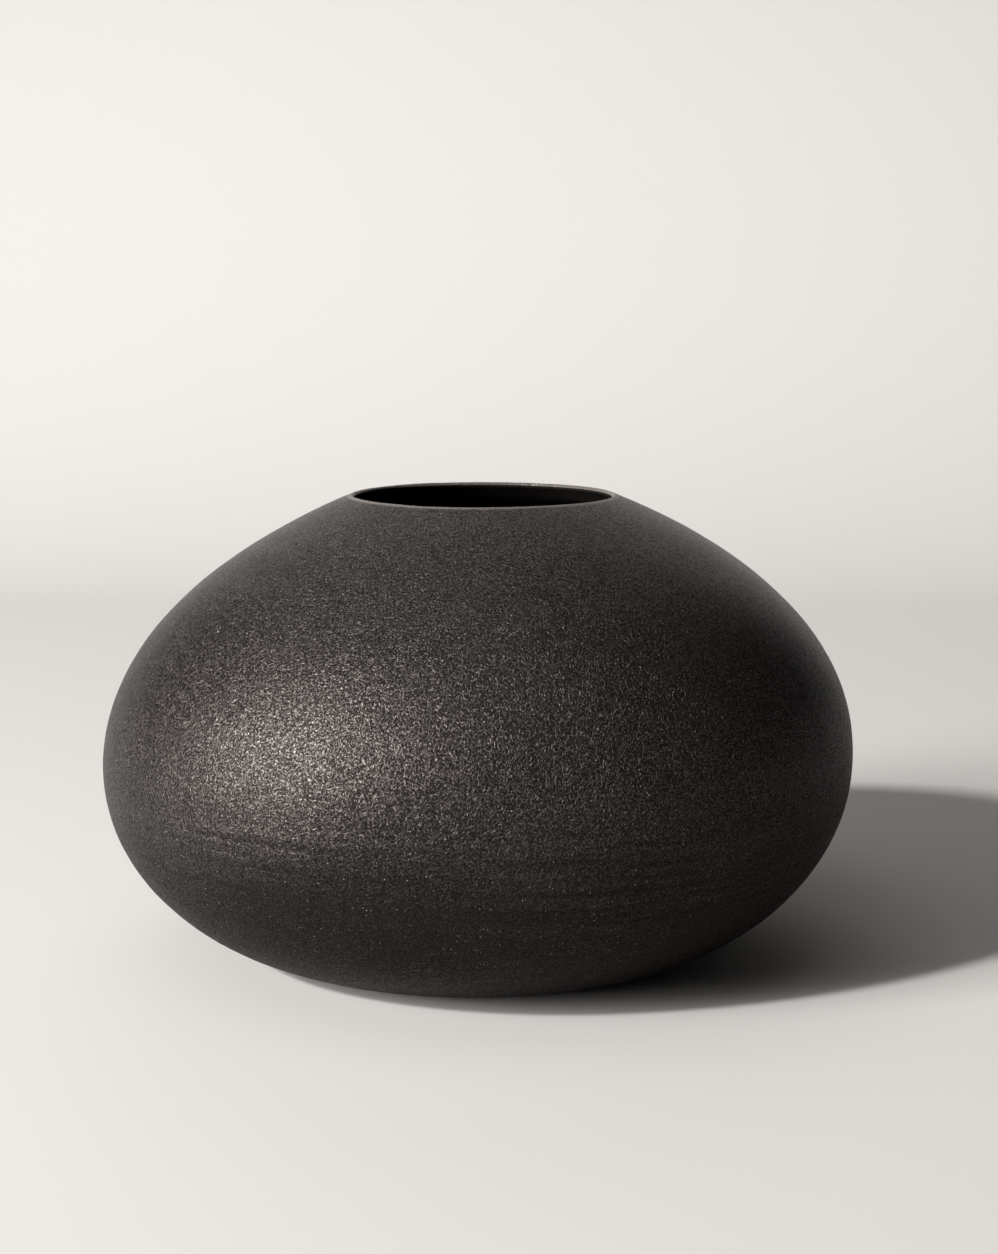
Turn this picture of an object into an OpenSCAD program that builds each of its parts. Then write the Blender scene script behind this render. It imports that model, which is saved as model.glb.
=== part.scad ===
// Squat black clay pot, coil built: a pressed base slab, a stack of wall coils and a rim coil.
// Origin at the centre of the base, on the floor; +Z up; millimetres.

/* [Pot] */
// Diameter at the belly, the widest part
pot_d = 300; // [270:5:340]
// Height from the floor to the top of the lip
pot_h = 180; // [165:1:200]
// Height of the belly above the floor
belly_z = 76; // [68:0.5:86]
// Diameter of the flat base
base_d = 162; // [140:1:180]
// Diameter of the mouth, measured over the outside of the lip
mouth_d = 106; // [80:1:130]

/* [Curve of the wall] */
// Angle between the floor and the wall where the wall leaves the base
base_angle = 8; // [4:1:30]
// How far the wall keeps its starting direction above the base
base_pull = 30; // [15:1:40]
// How far the wall stays upright below the belly
lower_pull = 43.5; // [30:0.5:60]
// How far the wall stays upright above the belly
upper_pull = 32; // [15:0.5:45]
// Angle between the level and the shoulder where it reaches the lip
shoulder_angle = 22.5; // [12:0.5:35]
// How far the shoulder keeps that angle below the lip
shoulder_pull = 82; // [55:0.5:95]

/* [Clay] */
// Thickness of the clay at the edge of the base
base_t = 8; // [6:0.5:10]
// Thickness of the wall at the belly
belly_t = 5.5; // [4:0.5:8]
// Thickness of the wall where the rim coil starts
rim_t = 4.2; // [3:0.1:6]
// Thickness of the lip, which the rim coil is drawn out to
lip_t = 2.4; // [2:0.1:5]

/* [Coils] */
// Number of wall coils between the base slab and the rim coil
coil_count = 12; // [8:1:16]
// Width of the rim coil, measured along the outside of the wall
rim_w = 13; // [8:1:20]
// How far each joint slants down along the wall from its outside to its inside
joint_lap = 5; // [2:0.5:8]
// Flat bands that stand in for the curve across one coil
bands = 4; // [3:1:6]

/* [Hidden] */
$fn = 180;
clay = [0.16, 0.15, 0.14];
base_r = base_d / 2;
belly_r = pot_d / 2;
lip_r = lip_t / 2;
lip_steps = 8;

// The two curves that make the outside of the wall, each with four control points.
// The upper one ends a little below the full height, because the lip is rounded.
mouth_r = mouth_d / 2;
shoulder_end = [mouth_r, pot_h - lip_r * (1 - cos(shoulder_angle))];
lower_curve = [
    [base_r, 0],
    [base_r + base_pull * cos(base_angle), base_pull * sin(base_angle)],
    [belly_r, belly_z - lower_pull],
    [belly_r, belly_z]
];
upper_curve = [
    [belly_r, belly_z],
    [belly_r, belly_z + upper_pull],
    shoulder_end + shoulder_pull * [cos(shoulder_angle), -sin(shoulder_angle)],
    shoulder_end
];

function curve_point(c, t) =
    pow(1 - t, 3) * c[0] + 3 * pow(1 - t, 2) * t * c[1] + 3 * (1 - t) * t * t * c[2] + pow(t, 3) * c[3];
function curve_slope(c, t) =
    pow(1 - t, 2) * (c[1] - c[0]) + 2 * (1 - t) * t * (c[2] - c[1]) + t * t * (c[3] - c[2]);

// Places along the outside are turns: 0 at the base, 1 at the belly and 2 at the lip
function turn_point(u) = u < 1 ? curve_point(lower_curve, u) : curve_point(upper_curve, u - 1);
function turn_slope(u) = u < 1 ? curve_slope(lower_curve, u) : curve_slope(upper_curve, u - 1);

// Distance walked along the outside at each turn, in small steps
turn_step = 1 / 64;
turns = [for (u = 0; u <= 2; u = u + turn_step) u];
walked = [
    for (i = 0, s = 0;
         i < len(turns);
         i = i + 1, s = i < len(turns) ? s + norm(turn_point(turns[i]) - turn_point(turns[i - 1])) : s)
    s
];
turn_at_distance = [for (i = [0 : len(turns) - 1]) [walked[i], turns[i]]];
belly_s = lookup(1, [for (pair = turn_at_distance) [pair[1], pair[0]]]);
wall_s = walked[len(turns) - 1];

// Outside of the wall, its inward direction and the clay thickness at distance s from the base
function outer_point(s) = turn_point(lookup(s, turn_at_distance));
function inward(s) =
    let (d = turn_slope(lookup(s, turn_at_distance)))
    [-d[1], d[0]] / norm(d);
function thickness(s) =
    lookup(s, [[0, base_t], [belly_s, belly_t], [wall_s - rim_w, rim_t], [wall_s, lip_t]]);

// Inside of the wall; short of the base edge it runs level across the floor of the pot
floor_edge = outer_point(0) + base_t * inward(0);
function inner_point(s) =
    s < 0 ? floor_edge + [s, 0] : outer_point(s) + thickness(s) * inward(s);

// Joints between coils, as distances along the outside
coil_w = (wall_s - rim_w) / coil_count;
joints = [for (i = [0 : coil_count]) i * coil_w];
coil_names = [for (i = [1 : coil_count]) str("wall_coil_", i < 10 ? "0" : "", i)];

// Places from a to b in equal steps
function steps(a, b, n) = [for (i = [0 : n]) a + (b - a) * i / n];

// Pressed slab that the pot stands on, with a bevelled edge for the first coil
module base_slab() {
    color(clay)
    rotate_extrude()
    polygon([[0, 0], outer_point(0), inner_point(-joint_lap), [0, floor_edge[1]]]);
}

// One wall coil, flattened into a ring of wall between joint i and the joint above it
module wall_coil(i) {
    color(clay)
    rotate_extrude()
    polygon(concat(
        [for (s = steps(joints[i], joints[i + 1], bands)) outer_point(s)],
        [for (s = steps(joints[i + 1], joints[i], bands)) inner_point(s - joint_lap)]
    ));
}

// Last coil, thinned to the lip and rounded over
module rim_coil() {
    lip_centre = outer_point(wall_s) + lip_r * inward(wall_s);
    color(clay)
    rotate_extrude()
    polygon(concat(
        [for (s = steps(joints[coil_count], wall_s, bands)) outer_point(s)],
        [for (a = steps(90 - shoulder_angle, 270 - shoulder_angle, lip_steps)) lip_centre + lip_r * [cos(a), sin(a)]],
        [for (s = steps(wall_s, joints[coil_count] - joint_lap, bands)) inner_point(s)]
    ));
}

base_slab();
for (i = [0 : coil_count - 1])
    wall_coil(i);
rim_coil();
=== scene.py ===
"""Squat black clay pot, coil built: a pressed base slab, a stack of wall coils and a rim coil."""
import math

import bpy
import numpy as np
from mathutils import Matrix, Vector


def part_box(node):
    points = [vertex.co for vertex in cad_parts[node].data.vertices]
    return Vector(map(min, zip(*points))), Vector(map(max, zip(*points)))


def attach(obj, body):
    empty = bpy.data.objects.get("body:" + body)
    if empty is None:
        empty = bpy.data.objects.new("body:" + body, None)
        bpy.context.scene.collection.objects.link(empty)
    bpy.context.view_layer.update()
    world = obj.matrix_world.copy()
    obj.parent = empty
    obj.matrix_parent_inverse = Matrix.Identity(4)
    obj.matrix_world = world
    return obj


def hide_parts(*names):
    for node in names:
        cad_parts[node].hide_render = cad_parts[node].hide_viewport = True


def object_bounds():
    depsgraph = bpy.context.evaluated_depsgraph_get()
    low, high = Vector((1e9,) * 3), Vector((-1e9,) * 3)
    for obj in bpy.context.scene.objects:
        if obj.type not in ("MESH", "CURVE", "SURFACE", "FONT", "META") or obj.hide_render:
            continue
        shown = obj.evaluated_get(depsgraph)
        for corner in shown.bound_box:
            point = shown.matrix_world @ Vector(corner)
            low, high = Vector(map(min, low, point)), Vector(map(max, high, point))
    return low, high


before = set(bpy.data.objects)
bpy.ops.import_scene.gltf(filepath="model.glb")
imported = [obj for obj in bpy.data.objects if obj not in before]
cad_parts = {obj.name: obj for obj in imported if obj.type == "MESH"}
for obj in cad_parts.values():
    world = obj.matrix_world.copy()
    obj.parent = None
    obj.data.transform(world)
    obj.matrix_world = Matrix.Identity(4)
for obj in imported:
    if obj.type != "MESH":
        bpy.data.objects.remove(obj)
cad_low, cad_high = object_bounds()

MM = 0.001

# ---------------------------------------------------------------- sizes of the pot, in metres
coil_nodes = sorted(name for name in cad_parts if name.startswith("wall_coil_"))
belly_r = (cad_high.x - cad_low.x) / 2
pot_h = cad_high.z
base_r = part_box("base_slab")[1].x
floor_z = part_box("base_slab")[1].z
belly_z = 76 * MM
mouth_r = 53 * MM
base_angle = math.radians(8)
base_pull = 30 * MM
lower_pull = 43.5 * MM
upper_pull = 32 * MM
shoulder_angle = math.radians(22.5)
shoulder_pull = 82 * MM
base_t = 8 * MM
belly_t = 5.5 * MM
rim_t = 4.2 * MM
lip_t = 2.4 * MM
rim_w = 13 * MM
joint_lap = 5 * MM

# ---------------------------------------------------------------- fineness of the meshes
COLUMNS = 960
BASE_COLUMNS = 240
OUTSIDE_STEP = 0.9 * MM
INSIDE_STEP = 1.8 * MM
RIM_STEP = 0.8 * MM
BASE_STEP = 2 * MM
LIP_STEPS = 14
SPIN_R = 1 * MM


# ---------------------------------------------------------------- line of the wall
def curve_points(corners, t):
    a, b, c, d = (np.array(p, float) for p in corners)
    t = t[:, None]
    return (1 - t) ** 3 * a + 3 * (1 - t) ** 2 * t * b + 3 * (1 - t) * t * t * c + t**3 * d


def wall_line():
    """Outside of the wall from base to lip: distance walked, points (r, z) and the turn at the belly."""
    shoulder_end = np.array([mouth_r, pot_h - lip_t / 2 * (1 - math.cos(shoulder_angle))])
    lower = [
        (base_r, 0),
        (base_r + base_pull * math.cos(base_angle), base_pull * math.sin(base_angle)),
        (belly_r, belly_z - lower_pull),
        (belly_r, belly_z),
    ]
    upper = [
        (belly_r, belly_z),
        (belly_r, belly_z + upper_pull),
        shoulder_end + shoulder_pull * np.array([math.cos(shoulder_angle), -math.sin(shoulder_angle)]),
        shoulder_end,
    ]
    t = np.linspace(0, 1, 2001)
    low = curve_points(lower, t)
    points = np.vstack([low, curve_points(upper, t)[1:]])
    walked = np.concatenate([[0], np.cumsum(np.linalg.norm(np.diff(points, axis=0), axis=1))])
    slope = np.gradient(points, walked, axis=0)
    return walked, points, slope, walked[len(low) - 1]


walked, line_points, line_slope, belly_s = wall_line()
wall_s = walked[-1]
coil_w = (wall_s - rim_w) / len(coil_nodes)


def outside_at(s):
    """Points (r, z) on the outside of the wall and the unit directions that leave the clay there."""
    s = np.asarray(s, float)
    point = np.stack([np.interp(s, walked, line_points[:, k]) for k in (0, 1)], 1)
    along = np.stack([np.interp(s, walked, line_slope[:, k]) for k in (0, 1)], 1)
    along /= np.linalg.norm(along, axis=1)[:, None]
    return point, np.stack([along[:, 1], -along[:, 0]], 1)


def inside_at(s):
    """The same for the inside. Short of the base edge the line runs level across the floor of the pot."""
    s = np.asarray(s, float)
    point, away = outside_at(np.maximum(s, 0))
    thick = np.interp(s, [0, belly_s, wall_s - rim_w, wall_s], [base_t, belly_t, rim_t, lip_t])
    point = point - away * thick[:, None]
    level = s < 0
    point[level, 0] += s[level]
    point[level, 1] = floor_z
    away = -away
    away[level] = (0, 1)
    return point, away


def steps(a, b, size):
    return np.linspace(a, b, max(2, round(abs(b - a) / size) + 1))


# An outline is the section of one piece: points, leaving directions, distance along the wall,
# and which side they are on, from 0 outside to 1 inside
def outline_part(place, s, side):
    point, away = place(s)
    return np.column_stack([point, away, s, np.full(len(s), float(side))])


def coil_outline(low, high):
    """Section of one wall coil between two lap joints."""
    return np.vstack([
        outline_part(outside_at, steps(low, high, OUTSIDE_STEP), 0),
        outline_part(inside_at, steps(high - joint_lap, low - joint_lap, INSIDE_STEP), 1),
    ])


def rim_outline(low):
    """Section of the last coil, rounded over at the lip."""
    end, away = outside_at([wall_s])
    centre = end[0] - away[0] * lip_t / 2
    start = math.atan2(away[0][1], away[0][0])
    turn = np.linspace(0, 1, LIP_STEPS + 1)[1:-1]
    angle = start + turn * math.pi
    leaving = np.column_stack([np.cos(angle), np.sin(angle)])
    arc = np.column_stack([centre + leaving * lip_t / 2, leaving, np.full(len(turn), wall_s), turn])
    outside = outline_part(outside_at, steps(low, wall_s, RIM_STEP), 0)
    inside = outline_part(inside_at, steps(wall_s, low - joint_lap, RIM_STEP), 1)
    return np.vstack([outside, arc, inside])


def base_outline():
    """Section of the pressed slab, from the middle of its underside round to the middle of its top."""
    under = np.arange(0, base_r, BASE_STEP)
    under = np.append(under[base_r - under > BASE_STEP / 2], base_r)
    top_edge = inside_at([-joint_lap])[0][0][0]
    top = np.arange(0, top_edge, BASE_STEP)
    top = np.append(top[top_edge - top > BASE_STEP / 2], top_edge)[::-1]
    low = [under, 0 * under, 0 * under, 0 * under - 1, under - base_r, 0 * under]
    high = [top, 0 * top + floor_z, 0 * top, 0 * top + 1, top - top_edge - joint_lap, 0 * top + 1]
    return np.vstack([np.column_stack(low), np.column_stack(high)])


# ---------------------------------------------------------------- small helpers for node trees
def put(tree, kind, inputs=None, **settings):
    """Adds a node, sets its options, and fills its inputs with plain values or other nodes' outputs."""
    made = tree.nodes.new(kind)
    for name, value in settings.items():
        setattr(made, name, value)
    for key, value in (inputs or {}).items():
        if isinstance(value, bpy.types.NodeSocket):
            tree.links.new(value, made.inputs[key])
        else:
            made.inputs[key].default_value = value
    return made


def calc(tree, operation, *values, clamp=False):
    made = put(tree, "ShaderNodeMath", dict(enumerate(values)), operation=operation, use_clamp=clamp)
    return made.outputs[0]


def vector(tree, operation, *values):
    made = put(tree, "ShaderNodeVectorMath", dict(enumerate(values)), operation=operation)
    return made.outputs["Value" if operation in ("LENGTH", "DOT_PRODUCT", "DISTANCE") else "Vector"]


def scaled(tree, value, amount):
    made = put(tree, "ShaderNodeVectorMath", {0: value, "Scale": amount}, operation="SCALE")
    return made.outputs["Vector"]


def noise(tree, place, scale, detail=2.0, rough=0.5, kind="FBM"):
    made = put(tree, "ShaderNodeTexNoise", {
        "Vector": place, "Scale": scale, "Detail": detail, "Roughness": rough}, noise_type=kind)
    return made.outputs[0]


def ramp(tree, value, low, high, to_low=0.0, to_high=1.0):
    """A smooth step from one value to another."""
    made = put(tree, "ShaderNodeMapRange", {
        "Value": value, "From Min": low, "From Max": high, "To Min": to_low, "To Max": to_high},
        interpolation_type="SMOOTHSTEP")
    return made.outputs[0]


def new_tree(name, kind, inputs, outputs):
    tree = bpy.data.node_groups.new(name, kind)
    for label, socket, value in inputs:
        made = tree.interface.new_socket(label, in_out="INPUT", socket_type=socket)
        if value is not None:
            made.default_value = value
    for label, socket in outputs:
        tree.interface.new_socket(label, in_out="OUTPUT", socket_type=socket)
    return tree, tree.nodes.new("NodeGroupInput").outputs, tree.nodes.new("NodeGroupOutput")


# ---------------------------------------------------------------- turning a section into a clay ring
RING_SIZES = [
    # name, socket, value
    ("Columns", "NodeSocketInt", COLUMNS),
    ("Sway at the belly", "NodeSocketFloat", 0.67 * MM),
    ("Lean at the lip", "NodeSocketFloat", 2.82 * MM),
    ("Unevenness depth", "NodeSocketFloat", 0.5 * MM),
    ("Unevenness size", "NodeSocketFloat", 60 * MM),
    ("Scrape depth", "NodeSocketFloat", 0.16 * MM),
    ("Scrape width", "NodeSocketFloat", 4.5 * MM),
    ("Dimple depth", "NodeSocketFloat", 0.12 * MM),
    ("Dimple size", "NodeSocketFloat", 5 * MM),
    ("Coil ridge depth", "NodeSocketFloat", 0.8 * MM),
    ("Coil width", "NodeSocketFloat", coil_w),
    ("Finger dent depth", "NodeSocketFloat", 0.9 * MM),
    ("Finger dent size", "NodeSocketFloat", 17 * MM),
    ("Seed", "NodeSocketFloat", 3.0),
]
# how fast the scraping changes round the pot, and the patches it comes and goes in
SCRAPE_TURNS = 0.9
PATCH_SCALE = 14.0
PATCH_EDGES = (0.42, 0.62)
# how far a coil's ridge inside strays from level and where it lies on the coil, in radians
RIDGE_WANDER = 1.2
RIDGE_PHASE = math.pi + 1.2
# lengths over which the unevenness dies away
LIP_EASE = 12 * MM
FLOOR_EASE = (-20 * MM, 5 * MM)
FOOT_EASE = 6 * MM


def clay_ring_tree():
    """Spins a section round the pot's axis, works unevenness into both skins and sets the clays."""
    tree, given, out = new_tree(
        "clay ring", "GeometryNodeTree",
        [("Section", "NodeSocketGeometry", None), ("Outside clay", "NodeSocketMaterial", None),
         ("Inside clay", "NodeSocketMaterial", None)] + RING_SIZES,
        [("Ring", "NodeSocketGeometry")])

    def read(name, kind="FLOAT"):
        made = put(tree, "GeometryNodeInputNamedAttribute", {"Name": name}, data_type=kind)
        return made.outputs["Attribute"]

    section = put(tree, "GeometryNodeMeshToCurve", {"Mesh": given["Section"]}).outputs["Curve"]
    path = put(tree, "GeometryNodeCurvePrimitiveCircle", {
        "Resolution": given["Columns"], "Radius": SPIN_R}, mode="RADIUS").outputs["Curve"]
    path = put(tree, "GeometryNodeSetCurveNormal", {"Curve": path}, mode="Z_UP").outputs["Curve"]
    spun = put(tree, "GeometryNodeCurveToMesh", {"Curve": path, "Profile Curve": section}).outputs["Mesh"]
    spun = put(tree, "GeometryNodeMergeByDistance", {"Geometry": spun, "Distance": 1e-6}).outputs["Geometry"]
    spun = put(tree, "GeometryNodeFlipFaces", {"Mesh": spun}).outputs["Mesh"]

    place = put(tree, "GeometryNodeInputPosition").outputs["Position"]
    parts = put(tree, "ShaderNodeSeparateXYZ", {0: place}).outputs
    flat = put(tree, "ShaderNodeCombineXYZ", {0: parts["X"], 1: parts["Y"]}).outputs["Vector"]
    around = vector(tree, "NORMALIZE", flat)
    facing = put(tree, "ShaderNodeSeparateXYZ", {0: read("facing", "FLOAT_VECTOR")}).outputs
    up = put(tree, "ShaderNodeCombineXYZ", {2: facing["Z"]}).outputs["Vector"]
    leaving = vector(tree, "ADD", scaled(tree, around, facing["X"]), up)
    along = read("along")
    side = read("side")
    seed = put(tree, "ShaderNodeCombineXYZ", {0: given["Seed"]}).outputs["Vector"]
    seeded = vector(tree, "ADD", place, seed)

    def centred(value):
        return calc(tree, "MULTIPLY_ADD", value, 2.0, -1.0)

    def per(size):
        return calc(tree, "DIVIDE", 1.0, given[size])

    # outside: broad unevenness, level scraping rings that come and go, and small dimples
    uneven = calc(tree, "MULTIPLY", centred(noise(tree, seeded, per("Unevenness size"), 2.0)),
                  given["Unevenness depth"])
    ring_height = calc(tree, "DIVIDE", along, given["Scrape width"])
    ring_place = put(tree, "ShaderNodeCombineXYZ", {0: given["Seed"], 2: ring_height}).outputs["Vector"]
    ring_place = vector(tree, "ADD", scaled(tree, around, SCRAPE_TURNS), ring_place)
    patches = ramp(tree, noise(tree, seeded, PATCH_SCALE, 2.0), *PATCH_EDGES)
    scrape = calc(tree, "MULTIPLY", centred(noise(tree, ring_place, 1.0, 3.0, 0.6)), given["Scrape depth"])
    scrape = calc(tree, "MULTIPLY", scrape, patches)
    dimple = calc(tree, "MULTIPLY", centred(noise(tree, seeded, per("Dimple size"), 3.0, 0.55)),
                  given["Dimple depth"])
    outer = calc(tree, "ADD", calc(tree, "ADD", uneven, scrape), dimple)

    # inside: one ridge for each coil, with the dents of the fingers that pressed it down
    turn = calc(tree, "MULTIPLY", calc(tree, "DIVIDE", along, given["Coil width"]), math.tau)
    wander = calc(tree, "MULTIPLY", centred(noise(tree, seeded, 12.0, 1.0)), RIDGE_WANDER)
    ridge = calc(tree, "COSINE", calc(tree, "ADD", calc(tree, "ADD", turn, wander), RIDGE_PHASE))
    ridge = calc(tree, "MULTIPLY", ridge, given["Coil ridge depth"])
    dent = calc(tree, "MULTIPLY", centred(noise(tree, seeded, per("Finger dent size"), 1.5)),
                given["Finger dent depth"])
    inner = calc(tree, "ADD", ridge, dent)
    inner = calc(tree, "MULTIPLY", inner, ramp(tree, along, wall_s, wall_s - LIP_EASE, 0.15, 1.0))
    inner = calc(tree, "MULTIPLY", inner, ramp(tree, along, *FLOOR_EASE, 0.4, 1.0))

    both = put(tree, "ShaderNodeMix", {0: side, 2: outer, 3: inner}, data_type="FLOAT").outputs[0]
    # the underside stays flat on the floor, and the clay eases into it
    grounded = ramp(tree, parts["Z"], 0.0, FOOT_EASE)
    moved = scaled(tree, leaving, calc(tree, "MULTIPLY", both, grounded))

    # the hand-made lean of the axis
    height = calc(tree, "DIVIDE", parts["Z"], pot_h)
    sway = calc(tree, "MULTIPLY", calc(tree, "SINE", calc(tree, "MULTIPLY", height, math.tau)),
                given["Sway at the belly"])
    lean = calc(tree, "SUBTRACT", calc(tree, "MULTIPLY", height, given["Lean at the lip"]), sway)
    moved = vector(tree, "ADD", moved, put(tree, "ShaderNodeCombineXYZ", {0: lean}).outputs["Vector"])
    shaped = put(tree, "GeometryNodeSetPosition", {"Geometry": spun, "Offset": moved}).outputs["Geometry"]
    shaped = put(tree, "GeometryNodeSetShadeSmooth", {"Geometry": shaped}).outputs["Geometry"]
    shaped = put(tree, "GeometryNodeSetMaterial", {
        "Geometry": shaped, "Material": given["Outside clay"]}).outputs["Geometry"]
    inside = put(tree, "FunctionNodeCompare", {0: side, 1: 0.6}, data_type="FLOAT", operation="GREATER_THAN")
    shaped = put(tree, "GeometryNodeSetMaterial", {
        "Geometry": shaped, "Selection": inside.outputs[0],
        "Material": given["Inside clay"]}).outputs["Geometry"]
    shaped = put(tree, "GeometryNodeRealizeInstances", {"Geometry": shaped}).outputs["Geometry"]
    tree.links.new(shaped, out.inputs[0])
    return tree


def section_mesh(name, outline):
    """The section as a wire in the flat plane that gets spun, with what the tree reads on its points."""
    mesh = bpy.data.meshes.new(name)
    count = len(outline)
    closed = outline[0][0] > 0
    points = [(r - SPIN_R, -z, 0.0) for r, z in outline[:, :2]]
    edges = [(k, (k + 1) % count) for k in range(count if closed else count - 1)]
    mesh.from_pydata(points, edges, [])
    facing = mesh.attributes.new("facing", "FLOAT_VECTOR", "POINT")
    facing.data.foreach_set("vector", np.column_stack(
        [outline[:, 2], np.zeros(count), outline[:, 3]]).astype(np.float32).ravel())
    for column, label in ((4, "along"), (5, "side")):
        made = mesh.attributes.new(label, "FLOAT", "POINT")
        made.data.foreach_set("value", outline[:, column].astype(np.float32))
    return mesh


def spin(name, outline, tree, clays, columns=COLUMNS):
    """Makes one clay ring as a plain mesh from its section."""
    wire = bpy.data.objects.new(name + "_section", section_mesh(name + "_section", outline))
    bpy.context.scene.collection.objects.link(wire)
    modifier = wire.modifiers.new("clay ring", "NODES")
    modifier.node_group = tree
    names = {s.name: s.identifier for s in tree.interface.items_tree if s.item_type == "SOCKET"}
    for label, value in (("Outside clay", clays[0]), ("Inside clay", clays[1]), ("Columns", columns)):
        modifier[names[label]] = value
    bpy.context.view_layer.update()
    mesh = bpy.data.meshes.new_from_object(wire.evaluated_get(bpy.context.evaluated_depsgraph_get()))
    bpy.data.objects.remove(wire)
    mesh.name = name
    piece = bpy.data.objects.new(name, mesh)
    bpy.context.scene.collection.objects.link(piece)
    return piece


def smooth_over_joints(pieces):
    """Gives all pieces the normals of one unbroken skin, so that no shading line shows where two meet."""
    corners, faces_of, keys = [], [], []
    for piece in pieces:
        mesh = piece.data
        place = np.zeros(len(mesh.vertices) * 3, np.float32)
        mesh.vertices.foreach_get("co", place)
        vertex = np.zeros(len(mesh.loops), np.int64)
        mesh.loops.foreach_get("vertex_index", vertex)
        total = np.zeros(len(mesh.polygons), np.int64)
        mesh.polygons.foreach_get("loop_total", total)
        start = np.zeros(len(mesh.polygons), np.int64)
        mesh.polygons.foreach_get("loop_start", start)
        side = np.zeros(len(mesh.vertices), np.float32)
        mesh.attributes["side"].data.foreach_get("value", side)
        place = place.reshape(-1, 3).astype(float)
        last = np.where(total == 4, 3, 2)
        a, b, c, d = (place[vertex[start + k]] for k in (0, 1, 2, last))
        normal = np.cross(c - a, d - b)
        three = total == 3
        normal[three] = np.cross(b[three] - a[three], c[three] - a[three])
        # a joint face runs straight from one skin to the other
        low = np.minimum.reduceat(side[vertex], start)
        high = np.maximum.reduceat(side[vertex], start)
        joint = high - low > 0.5
        owner = np.repeat(np.arange(len(total)), total)
        corners.append((vertex, owner))
        faces_of.append((normal, joint))
        keys.append(np.round(place * 1e5).astype(np.int64))
    every = np.vstack(keys)
    _, group = np.unique(every, axis=0, return_inverse=True)
    group = group.reshape(-1)
    shared = np.zeros((group.max() + 1, 3))
    first = 0
    groups = []
    for (vertex, owner), (normal, joint), key in zip(corners, faces_of, keys):
        mine = group[first:first + len(key)]
        first += len(key)
        groups.append(mine)
        open_corner = ~joint[owner]
        for axis in range(3):
            shared[:, axis] += np.bincount(
                mine[vertex[open_corner]], normal[owner[open_corner], axis], len(shared))
    for piece, (vertex, owner), (normal, joint), mine in zip(pieces, corners, faces_of, groups):
        result = shared[mine[vertex]]
        shut = joint[owner]
        result[shut] = normal[owner[shut]]
        result /= np.maximum(np.linalg.norm(result, axis=1), 1e-20)[:, None]
        piece.data.normals_split_custom_set(result.tolist())


# ---------------------------------------------------------------- clays
CREST_LOW = 0.50
CREST_HIGH = 1.05
BEND_SCALE = 700.0
BEND_REACH = 0.9 * MM
RIDGE_SCALE = 0.62
RIDGE_WIDTH = 0.05
RIDGE_HEIGHT = 0.3
# smallest and largest dot as shares of their spacing, and the share of a dot that is at full strength
SPECK_RADII = (0.06, 0.15)
PIT_RADII = (0.08, 0.17)
DOT_CORE = 0.6
SPECK_HEIGHT = 0.2
PIT_DEPTH = 0.5
MARK_TURNS = 9.0
MARK_SHINE = 2.2
# heights where the scraping marks come in and where they are gone again
SHOULDER_MARKS = ((128 * MM, 138 * MM), (172 * MM, 162 * MM))
FOOT_MARKS = ((38 * MM, 48 * MM), (82 * MM, 68 * MM))
SHOULDER_SHARE = 0.5
MISSED_SIDE = (0.92, 0.39, 0.0)


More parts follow.
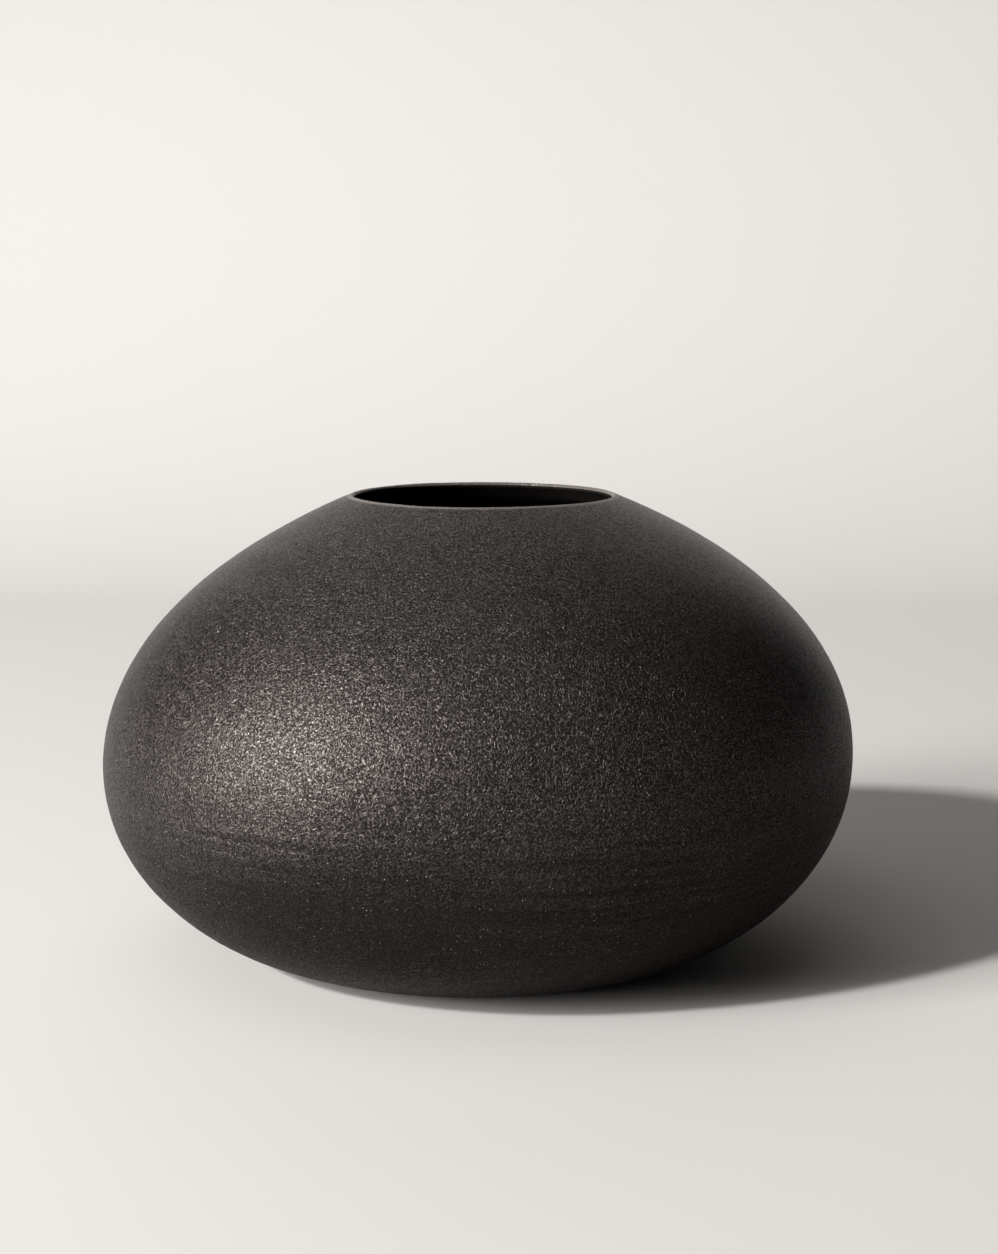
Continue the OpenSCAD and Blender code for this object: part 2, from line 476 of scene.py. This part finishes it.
def clay_grain_group():
    """Grain of a sandy black clay: relief for a bump, bright grains of sand, and pits."""
    tree, given, out = new_tree(
        "clay grain", "ShaderNodeTree",
        [("Wrinkle size", "NodeSocketFloat", 0.74 * MM), ("Wrinkle share", "NodeSocketFloat", 1.0),
         ("Sand size", "NodeSocketFloat", 0.4 * MM), ("Sand share", "NodeSocketFloat", 0.3),
         ("Speck spacing", "NodeSocketFloat", 1.3 * MM), ("Speck share", "NodeSocketFloat", 0.4),
         ("Mark spacing", "NodeSocketFloat", 4.2 * MM), ("Mark share", "NodeSocketFloat", 5.0),
         ("Pit spacing", "NodeSocketFloat", 2.1 * MM), ("Pit share", "NodeSocketFloat", 0.35)],
        [("Relief", "NodeSocketFloat"), ("Specks", "NodeSocketFloat"), ("Pits", "NodeSocketFloat"),
         ("Crests", "NodeSocketFloat")])
    place = put(tree, "ShaderNodeTexCoord").outputs["Object"]

    def per(size):
        return calc(tree, "DIVIDE", 1.0, given[size])

    # wrinkles: thin ridges where a soft noise crosses its middle value, bent by a coarser one
    bend = put(tree, "ShaderNodeTexNoise", {
        "Vector": place, "Scale": BEND_SCALE, "Detail": 1.0}).outputs["Color"]
    bend = scaled(tree, vector(tree, "SUBTRACT", bend, (0.5, 0.5, 0.5)), BEND_REACH)
    bent = vector(tree, "ADD", place, bend)
    worm = noise(tree, bent, calc(tree, "MULTIPLY", per("Wrinkle size"), RIDGE_SCALE), 1.0, 0.4)
    off_middle = calc(tree, "ABSOLUTE", calc(tree, "SUBTRACT", worm, 0.5))
    ridge = ramp(tree, off_middle, 0.0, RIDGE_WIDTH, 1.0, 0.0)
    swell = noise(tree, bent, per("Wrinkle size"), 2.0, 0.55)
    wrinkles = calc(tree, "ADD", calc(tree, "MULTIPLY", ridge, RIDGE_HEIGHT), swell)
    sand = noise(tree, place, per("Sand size"), 1.5, 0.5)
    relief = calc(tree, "ADD", calc(tree, "MULTIPLY", wrinkles, given["Wrinkle share"]),
                  calc(tree, "MULTIPLY", sand, given["Sand share"]))
    crests = ramp(tree, relief, CREST_LOW, CREST_HIGH)

    # level marks of scraping, in a band at the shoulder and one above the foot
    spot = put(tree, "ShaderNodeSeparateXYZ", {0: place}).outputs
    stretched = put(tree, "ShaderNodeCombineXYZ", {
        "X": calc(tree, "MULTIPLY", spot["X"], MARK_TURNS),
        "Y": calc(tree, "MULTIPLY", spot["Y"], MARK_TURNS),
        "Z": calc(tree, "MULTIPLY", spot["Z"], per("Mark spacing"))}).outputs["Vector"]
    marks = noise(tree, stretched, 1.0, 2.0, 0.5)
    shoulder, foot = (
        calc(tree, "MULTIPLY", ramp(tree, spot["Z"], *comes), ramp(tree, spot["Z"], *goes))
        for comes, goes in (SHOULDER_MARKS, FOOT_MARKS))
    there = ramp(tree, noise(tree, place, MARK_TURNS, 2.0), 0.44, 0.56, 0.25, 1.0)
    band = calc(tree, "MULTIPLY", calc(tree, "MULTIPLY_ADD", shoulder, SHOULDER_SHARE, foot), there)
    scraped = calc(tree, "MULTIPLY", calc(tree, "MULTIPLY", marks, band), given["Mark share"])
    relief = calc(tree, "ADD", relief, scraped)
    shine = calc(tree, "MULTIPLY", calc(tree, "SUBTRACT", marks, 0.5),
                 calc(tree, "MULTIPLY", band, MARK_SHINE))
    crests = calc(tree, "MULTIPLY", crests, calc(tree, "ADD", shine, 1.0))

    def dots(spacing, share, small, large):
        cell = put(tree, "ShaderNodeTexVoronoi", {"Vector": place, "Scale": per(spacing), "Randomness": 1.0})
        pick = put(tree, "ShaderNodeSeparateColor", {0: cell.outputs["Color"]}).outputs
        reach = ramp(tree, pick["Green"], 0.0, 1.0, small, large)
        chosen = calc(tree, "LESS_THAN", pick["Red"], given[share])
        near = put(tree, "ShaderNodeMapRange", {
            "Value": calc(tree, "DIVIDE", cell.outputs["Distance"], reach),
            "From Min": DOT_CORE, "From Max": 1.0, "To Min": 1.0, "To Max": 0.0}, clamp=True).outputs[0]
        return calc(tree, "MULTIPLY", near, chosen)

    specks = dots("Speck spacing", "Speck share", *SPECK_RADII)
    pits = dots("Pit spacing", "Pit share", *PIT_RADII)
    relief = calc(tree, "ADD", relief, calc(tree, "MULTIPLY", specks, SPECK_HEIGHT))
    relief = calc(tree, "SUBTRACT", relief, calc(tree, "MULTIPLY", pits, PIT_DEPTH))
    for value, label in ((relief, "Relief"), (specks, "Specks"), (pits, "Pits"), (crests, "Crests")):
        tree.links.new(value, out.inputs[label])
    return tree


def fire_clouds_group():
    """Slow changes of shade from the smoke of a reduction firing, 0 to 1."""
    tree, given, out = new_tree(
        "fire clouds", "ShaderNodeTree",
        [("Size", "NodeSocketFloat", 90 * MM)], [("Cloud", "NodeSocketFloat")])
    place = put(tree, "ShaderNodeTexCoord").outputs["Object"]
    big = noise(tree, place, calc(tree, "DIVIDE", 1.0, given["Size"]), 4.0, 0.55)
    tree.links.new(ramp(tree, big, 0.3, 0.7), out.inputs[0])
    return tree


def rubbing_group():
    """How far the leather-hard clay was rubbed smooth: hardly at the foot, fully well above the belly."""
    tree, given, out = new_tree(
        "rubbing", "ShaderNodeTree",
        [("From height", "NodeSocketFloat", 14 * MM), ("To height", "NodeSocketFloat", 140 * MM),
         ("Wander", "NodeSocketFloat", 16 * MM), ("Missed side lift", "NodeSocketFloat", 44 * MM)],
        [("Rubbed", "NodeSocketFloat")])
    place = put(tree, "ShaderNodeTexCoord").outputs["Object"]
    up = put(tree, "ShaderNodeSeparateXYZ", {0: place}).outputs["Z"]
    strokes = calc(tree, "SUBTRACT", noise(tree, place, 22.0, 3.0, 0.6), 0.5)
    share = calc(tree, "ADD", up, calc(tree, "MULTIPLY", strokes, given["Wander"]))
    # the hand reached less far down on one side
    away = vector(tree, "DOT_PRODUCT", place, MISSED_SIDE)
    missed = calc(tree, "MULTIPLY", ramp(tree, away, -0.2 * belly_r, 0.9 * belly_r),
                  given["Missed side lift"])
    share = calc(tree, "SUBTRACT", share, missed)
    rubbed = put(tree, "ShaderNodeMapRange", {
        "Value": share, "From Min": given["From height"], "From Max": given["To height"]},
        interpolation_type="SMOOTHSTEP").outputs[0]
    tree.links.new(rubbed, out.inputs[0])
    return tree


CLAY_IOR = 1.6
SHEEN_COLOR = (1.0, 0.9, 0.86, 1)
CLOUD_ROUGHNESS = 0.04
PIT_PAINTED_SHADE_COLOR = (0.004, 0.004, 0.004, 1)
PIT_PAINTED_SHADE_SHARE = 0.7
PIT_DULLING = 0.85
LIP_HIGHLIGHT_COLOR = (0.13, 0.118, 0.108, 1)
LIP_HIGHLIGHT_FROM = 1.8 * MM
LIP_HIGHLIGHT_TO = 0.7 * MM


def mix_color(tree, share, low, high):
    made = put(tree, "ShaderNodeMix", {0: share, 6: low, 7: high}, data_type="RGBA")
    return made.outputs[2]


def clay_material(name, groups, dark, light, speck, gloss, crest_gloss, roughness, relief, lip_highlight=0.0):
    """A black clay: clouded colour, bright specks, pits darkened with painted shade, the grain, and a gloss
    that grows with rubbing.

    Pairs give a value at the foot and where the clay is fully rubbed, or low and high in the grain.
    """
    material = bpy.data.materials.new(name)
    material.use_nodes = True
    tree = material.node_tree
    tree.nodes.clear()
    shader = put(tree, "ShaderNodeBsdfPrincipled")
    shader.inputs["IOR"].default_value = CLAY_IOR
    put(tree, "ShaderNodeOutputMaterial", {"Surface": shader.outputs[0]})
    marks = put(tree, "ShaderNodeGroup", node_tree=groups["grain"])
    cloud = put(tree, "ShaderNodeGroup", node_tree=groups["clouds"]).outputs[0]
    rubbed = put(tree, "ShaderNodeGroup", node_tree=groups["rubbing"]).outputs[0]
    colour = mix_color(tree, cloud, (*dark, 1), (*light, 1))
    colour = mix_color(tree, marks.outputs["Specks"], colour, (*speck, 1))
    # painted shade: the pits are darkened in the colour as well as dented by the bump
    colour = mix_color(tree, calc(tree, "MULTIPLY", marks.outputs["Pits"], PIT_PAINTED_SHADE_SHARE), colour, PIT_PAINTED_SHADE_COLOR)
    # painted highlight: the top of the lip is made paler where it would catch the light, broken up by the
    # clouds
    along = put(tree, "ShaderNodeAttribute", attribute_name="along").outputs["Fac"]
    lit_lip_top = calc(tree, "MULTIPLY", ramp(tree, along, wall_s - LIP_HIGHLIGHT_FROM, wall_s - LIP_HIGHLIGHT_TO),
                ramp(tree, cloud, 0.0, 1.0, 0.6 * lip_highlight, lip_highlight))
    colour = mix_color(tree, lit_lip_top, colour, LIP_HIGHLIGHT_COLOR)
    tree.links.new(colour, shader.inputs["Base Color"])
    polish = calc(tree, "MULTIPLY", ramp(tree, rubbed, 0.0, 1.0, *gloss),
                  ramp(tree, marks.outputs["Crests"], 0.0, 1.0, *crest_gloss))
    dulled = calc(tree, "MULTIPLY", marks.outputs["Pits"], PIT_DULLING)
    polish = calc(tree, "MULTIPLY", polish, calc(tree, "SUBTRACT", 1.0, dulled))
    tree.links.new(polish, shader.inputs["Specular IOR Level"])
    shader.inputs["Specular Tint"].default_value = SHEEN_COLOR
    rough = calc(tree, "ADD", ramp(tree, rubbed, 0.0, 1.0, *roughness),
                 calc(tree, "MULTIPLY", cloud, CLOUD_ROUGHNESS))
    tree.links.new(rough, shader.inputs["Roughness"])
    bump = put(tree, "ShaderNodeBump", {
        "Strength": 1.0, "Distance": relief, "Height": marks.outputs["Relief"]})
    tree.links.new(bump.outputs[0], shader.inputs["Normal"])
    return material


groups = {"grain": clay_grain_group(), "clouds": fire_clouds_group(), "rubbing": rubbing_group()}
outside_clay = clay_material(
    "black clay, outside", groups, (0.0080, 0.0068, 0.0060), (0.0110, 0.0094, 0.0084), (0.55, 0.51, 0.48),
    (0.035, 0.60), (0.08, 2.3), (0.38, 0.33), 0.28 * MM, lip_highlight=1.0)
# The inside clay is the outside clay made darker, its specks too: painted shade for the inside of the pot.
# Its dullness is the clay's own.
inside_clay_painted_shade = clay_material(
    "black clay, inside, painted shade", groups, (0.004, 0.0034, 0.003), (0.006, 0.005, 0.0045), (0.03, 0.027, 0.025),
    (0.1, 0.15), (1.0, 1.0), (0.9, 0.8), 0.2 * MM)
base_clay = clay_material(
    "black clay, base", groups, (0.014, 0.012, 0.0105), (0.022, 0.019, 0.017), (0.20, 0.18, 0.17),
    (0.1, 0.2), (0.5, 1.5), (0.8, 0.8), 0.28 * MM)

# ---------------------------------------------------------------- the pieces
ring = clay_ring_tree()
pieces = {"base_slab": spin("clay_base_slab", base_outline(), ring, (base_clay, inside_clay_painted_shade), BASE_COLUMNS)}
for k, node in enumerate(coil_nodes):
    outline = coil_outline(k * coil_w, (k + 1) * coil_w)
    pieces[node] = spin("clay_" + node, outline, ring, (outside_clay, inside_clay_painted_shade))
pieces["rim_coil"] = spin("clay_rim_coil", rim_outline(wall_s - rim_w), ring, (outside_clay, inside_clay_painted_shade))
smooth_over_joints(list(pieces.values()))
for node, piece in pieces.items():
    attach(piece, "root")
    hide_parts(node)

# ---------------------------------------------------------------- studio
FLOOR_HALF = 1.0
FLOOR_FRONT = 2.0
SWEEP_Y = 0.9
SWEEP_R = 0.9
WALL_TOP = 3.0
SWEEP_STEPS = 32
PAPER_COLOR = (0.65, 0.638, 0.625, 1)
PAPER_ROUGHNESS = 0.9
CAMERA_PLACE = (9.22 * MM, -847.38 * MM, 262.34 * MM)
CAMERA_DIP = 9.117
LENS = 61.22
POT_MIDDLE = Vector((0, 0, 0.08))
LIGHT_COLOR = (1.0, 0.975, 0.955)
AIR_COLOR = (0.03, 0.029, 0.028, 1)


def paper_sweep():
    """Pale paper that lies on the floor and curves up behind the pot."""
    mesh = bpy.data.meshes.new("paper_sweep")
    bend = [(SWEEP_Y + SWEEP_R * math.sin(a), SWEEP_R - SWEEP_R * math.cos(a))
            for a in np.linspace(0, math.pi / 2, SWEEP_STEPS + 1)]
    line = [(-FLOOR_FRONT, 0.0)] + bend + [(SWEEP_Y + SWEEP_R, WALL_TOP)]
    points = [(x, y, z) for y, z in line for x in (-FLOOR_HALF, FLOOR_HALF)]
    faces = [(2 * k, 2 * k + 1, 2 * k + 3, 2 * k + 2) for k in range(len(line) - 1)]
    mesh.from_pydata(points, [], faces)
    mesh.polygons.foreach_set("use_smooth", [True] * len(faces))
    sweep = bpy.data.objects.new("paper_sweep", mesh)
    bpy.context.scene.collection.objects.link(sweep)
    paper = bpy.data.materials.new("pale paper")
    paper.use_nodes = True
    shader = paper.node_tree.nodes["Principled BSDF"]
    shader.inputs["Base Color"].default_value = PAPER_COLOR
    shader.inputs["Roughness"].default_value = PAPER_ROUGHNESS
    mesh.materials.append(paper)


def set_camera():
    camera = bpy.data.cameras.new("camera")
    camera.sensor_fit = "VERTICAL"
    camera.sensor_height = 36
    camera.lens = LENS
    view = bpy.data.objects.new("camera", camera)
    view.location = CAMERA_PLACE
    view.rotation_euler = (math.radians(90 - CAMERA_DIP), 0, 0)
    bpy.context.scene.collection.objects.link(view)
    bpy.context.scene.camera = view


def add_light(name, kind, place, energy, **settings):
    """A lamp that looks at the middle of the pot."""
    lamp = bpy.data.lights.new(name, kind)
    lamp.energy = energy
    lamp.color = LIGHT_COLOR
    for label, value in settings.items():
        setattr(lamp, label, value)
    light = bpy.data.objects.new(name, lamp)
    light.location = place
    light.rotation_euler = (POT_MIDDLE - place).to_track_quat("-Z", "Y").to_euler()
    bpy.context.scene.collection.objects.link(light)


def toward(turn, rise, reach):
    """A place in the studio: degrees from the front towards the left, degrees up, metres from the pot."""
    a, b = math.radians(turn), math.radians(rise)
    way = Vector((-math.sin(a) * math.cos(b), -math.cos(a) * math.cos(b), math.sin(b)))
    return way * reach + POT_MIDDLE


PANELS = (
    # name, place, power in watts, side in metres
    ("low panel", toward(62, 8, 1.8), 28.0, 0.45),
    ("side panel", toward(85, 10, 1.8), 1.0, 0.5),
    ("upper panel", toward(57, 24, 2.2), 32.0, 0.6),
    ("high side panel", toward(85, 58, 2.0), 3.5, 1.4),
    ("overhead", toward(40, 78, 2.1), 4.0, 1.8),
)


def set_lights():
    add_light("key", "SUN", toward(54, 31, 3), 3.0, angle=math.radians(4))
    for name, place, power, size in PANELS:
        add_light(name, "AREA", place, power, shape="SQUARE", size=size)
    world = bpy.data.worlds.new("studio")
    bpy.context.scene.world = world
    world.use_nodes = True
    world.node_tree.nodes["Background"].inputs["Color"].default_value = AIR_COLOR


paper_sweep()
set_camera()
set_lights()
bpy.context.scene.view_settings.view_transform = "Standard"
